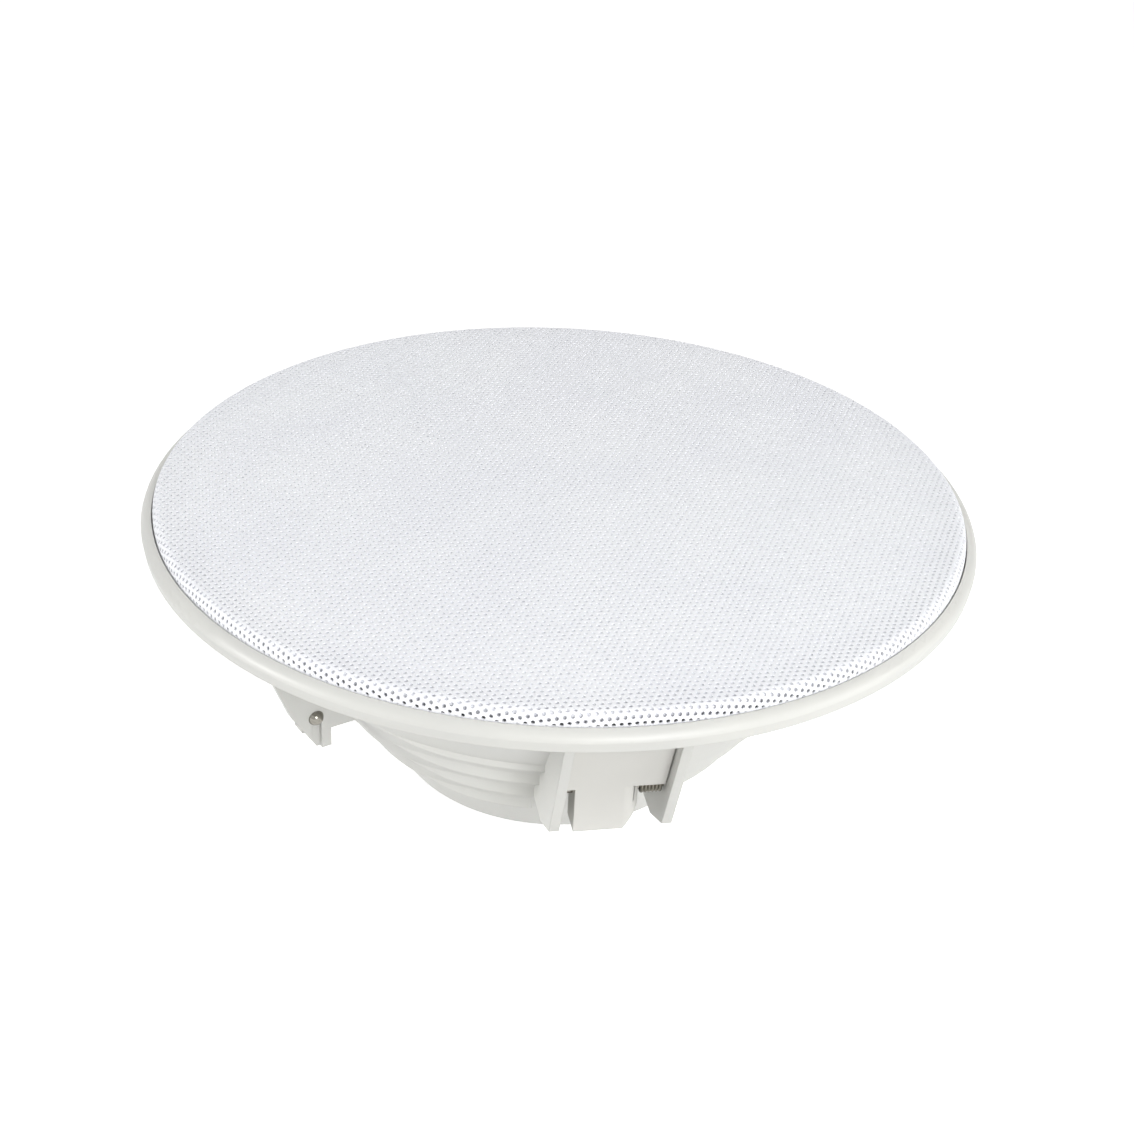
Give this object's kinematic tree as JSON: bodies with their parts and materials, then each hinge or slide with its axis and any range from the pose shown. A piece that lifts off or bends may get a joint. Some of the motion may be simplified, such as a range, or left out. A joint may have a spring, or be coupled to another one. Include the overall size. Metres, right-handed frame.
{
  "type": "in ceiling speaker",
  "caption": "Round flush speaker with a domed perforated grille, a stepped conical closed back and rocking ceiling clamps.",
  "frame": {"origin": "centre of the ceiling cut-out, in the plane of the flange's back face, which lies on the ceiling board", "axes": "+Z along the speaker's axis, out of the grille; the clamps stand in two opposite pairs around it"},
  "size_m": [0.25, 0.25, 0.0947],
  "materials": {
    "white_moulding": "satin moulded ABS",
    "lever_moulding": "satin moulded ABS",
    "grille_paint": "matt white paint on perforated steel",
    "cloth": "thin pale woven cloth",
    "bright_steel": "bright zinc-plated steel",
    "spring_steel": "oiled spring wire",
    "black_steel": "black powder coat on pressed steel",
    "black_plastic": "fine matt moulded ABS",
    "cone_paper": "pressed dark paper pulp",
    "surround_rubber": "matt butyl rubber",
    "spider_cloth": "resin-stiffened cloth",
    "coil_copper": "enamelled copper wire",
    "former_aluminium": "thin rolled foil",
    "zinc_iron": "zinc-plated low-carbon steel",
    "ferrite": "ground ferrite",
    "dome_film": "thin formed film",
    "circuit_board": "glass-filled board with solder mask",
    "capacitor_film": "dipped film capacitor",
    "resistor_cement": "wire-wound in cement"
  },
  "bodies": {
    "root": {"housing": "white_moulding", "grille": "grille_paint", "grille_cloth": "cloth", "clamp_pin_1": "bright_steel", "clamp_pin_2": "bright_steel", "clamp_pin_3": "bright_steel", "clamp_pin_4": "bright_steel", "clamp_spring_1": "spring_steel", "clamp_spring_2": "spring_steel", "clamp_spring_3": "spring_steel", "clamp_spring_4": "spring_steel", "baffle_ring": "black_plastic", "baffle_screws": "black_steel", "woofer_chassis": "black_steel", "woofer_screws": "black_steel", "surround": "surround_rubber", "surround_gasket": "surround_rubber", "spider": "spider_cloth", "front_plate": "zinc_iron", "magnet": "ferrite", "back_plate": "zinc_iron", "tweeter_bridge": "black_plastic", "bridge_screws": "black_steel", "tweeter_housing": "black_plastic", "tweeter_magnet": "zinc_iron", "tweeter_dome": "dome_film", "crossover_board": "circuit_board", "inductor": "coil_copper", "capacitor": "capacitor_film", "resistor": "resistor_cement", "terminal_block": "black_plastic", "terminal_screws": "bright_steel"},
    "cone_unit": {"cone": "cone_paper", "dust_cap": "cone_paper", "voice_coil_former": "former_aluminium", "voice_coil": "coil_copper"},
    "clamp_1": {"clamp_lever_1": "lever_moulding"},
    "clamp_2": {"clamp_lever_2": "lever_moulding"},
    "clamp_3": {"clamp_lever_3": "lever_moulding"},
    "clamp_4": {"clamp_lever_4": "lever_moulding"}
  },
  "joints": [
    {"name": "cone_travel", "type": "slide", "parent": "root", "child": "cone_unit", "axis": [0, 0, 1], "range_m": [-0.003, 0.003], "stiffness_N_per_m": 1500},
    {"name": "clamp_1_pivot", "type": "hinge", "parent": "root", "child": "clamp_1", "pos_m": [-0.07568, -0.05143, -0.0356], "axis": [0.5621, -0.8271, 0], "range_deg": [0, 45]},
    {"name": "clamp_2_pivot", "type": "hinge", "parent": "root", "child": "clamp_2", "pos_m": [0.01809, -0.08969, -0.0356], "axis": [0.9803, 0.1977, 0], "range_deg": [0, 45]},
    {"name": "clamp_3_pivot", "type": "hinge", "parent": "root", "child": "clamp_3", "pos_m": [0.07568, 0.05143, -0.0356], "axis": [-0.5621, 0.8271, 0], "range_deg": [0, 45]},
    {"name": "clamp_4_pivot", "type": "hinge", "parent": "root", "child": "clamp_4", "pos_m": [-0.01809, 0.08969, -0.0356], "axis": [-0.9803, -0.1977, 0], "range_deg": [0, 45]}
  ]
}
